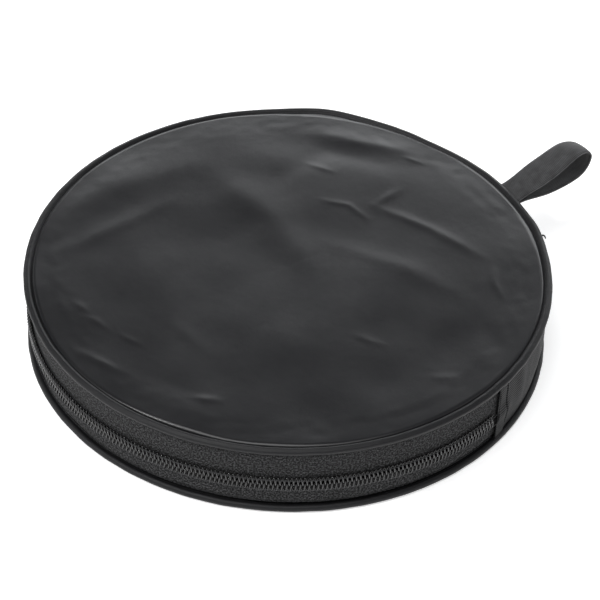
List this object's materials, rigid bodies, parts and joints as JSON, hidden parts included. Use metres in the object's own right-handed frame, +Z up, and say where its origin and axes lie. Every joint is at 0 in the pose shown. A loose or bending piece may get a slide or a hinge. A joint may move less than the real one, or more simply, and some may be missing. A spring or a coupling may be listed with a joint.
{
  "type": "collapsible reflector disc in zipped case",
  "caption": "Round black zipped fabric case with piped seams and a webbing loop, holding a folded sprung-hoop photographic reflector.",
  "frame": {"origin": "centre of the bottom panel's underside, where the case rests", "axes": "+Z up through the flat case; +Y towards the webbing loop, -Y towards the middle of the zipper; +X to the right seen from the zipper's side"},
  "size_m": [0.2444, 0.2863, 0.0495],
  "materials": {
    "panel_fabric": "smooth polyurethane-coated nylon with a soft broad sheen",
    "band_fabric": "plain-woven black nylon with a fine horizontal rib",
    "piping_fabric": "coated nylon strip, satin, slightly lighter than the panels",
    "piping_cord": "extruded filler cord",
    "binding_tape": "matt black woven edge binding",
    "zipper_tape": "matt black herringbone polyester tape with a grainy weave",
    "zipper_coil": "black nylon monofilament, glossy",
    "slider_metal": "black enamelled zinc casting",
    "webbing": "black ribbed nylon webbing",
    "spring_steel": "cold-rolled spring steel",
    "ferrule_steel": "crimped steel tube",
    "reflector_silver": "metallised silver cloth",
    "reflector_white": "matt white cloth"
  },
  "bodies": {
    "case": {"bottom_panel": "panel_fabric", "bottom_piping_cover": "piping_fabric", "bottom_piping_cord": "piping_cord", "bottom_seam_binding": "binding_tape", "back_band": "band_fabric", "lower_zip_tape": "zipper_tape", "lower_zip_coil": "zipper_coil", "upper_zip_tape_right_end": "zipper_tape", "upper_zip_coil_right_end": "zipper_coil", "upper_zip_tape_left_end": "zipper_tape", "upper_zip_coil_left_end": "zipper_coil", "top_panel_back": "panel_fabric", "top_piping_cover_back": "piping_fabric", "top_piping_cord_back": "piping_cord", "top_seam_binding_back": "binding_tape", "strap_root": "webbing"},
    "flap": {"top_panel_front": "panel_fabric", "top_piping_cover_front": "piping_fabric", "top_piping_cord_front": "piping_cord", "top_seam_binding_front": "binding_tape", "upper_zip_tape": "zipper_tape", "upper_zip_coil": "zipper_coil"},
    "slider": {"slider_body": "slider_metal", "slider_crown": "slider_metal"},
    "pull": {"pull_tab": "slider_metal"},
    "loop": {"strap_loop": "webbing"},
    "reflector": {"hoop_steel_band": "spring_steel", "hoop_ferrule": "ferrule_steel", "hoop_binding": "binding_tape", "reflector_face_silver": "reflector_silver", "reflector_face_white": "reflector_white"}
  },
  "joints": [
    {"name": "lid_flap", "type": "hinge", "parent": "case", "child": "flap", "pos_m": [0, 0.022, 0.038], "axis": [-1, 0, 0], "range_deg": [0, 140]},
    {"name": "slider_travel", "type": "hinge", "parent": "case", "child": "slider", "pos_m": [0, 0, 0.0165], "axis": [0, 0, 1], "range_deg": [0, 218.2]},
    {"name": "pull_swing", "type": "hinge", "parent": "slider", "child": "pull", "pos_m": [-0.11519, 0.03989, 0.0165], "axis": [0, 0, -1], "range_deg": [0, 170]},
    {"name": "strap_swing", "type": "hinge", "parent": "case", "child": "loop", "pos_m": [0, 0.1222, 0.0329], "axis": [1, 0, 0], "range_deg": [-60, 60]},
    {"name": "reflector_lift", "type": "hinge", "parent": "case", "child": "reflector", "pos_m": [0, 0.1055, 0.0012], "axis": [-1, 0, 0], "range_deg": [0, 8]}
  ],
  "couplings": [
    {"joint": "reflector_lift", "follows": "lid_flap", "ratio": 0.057143}
  ]
}
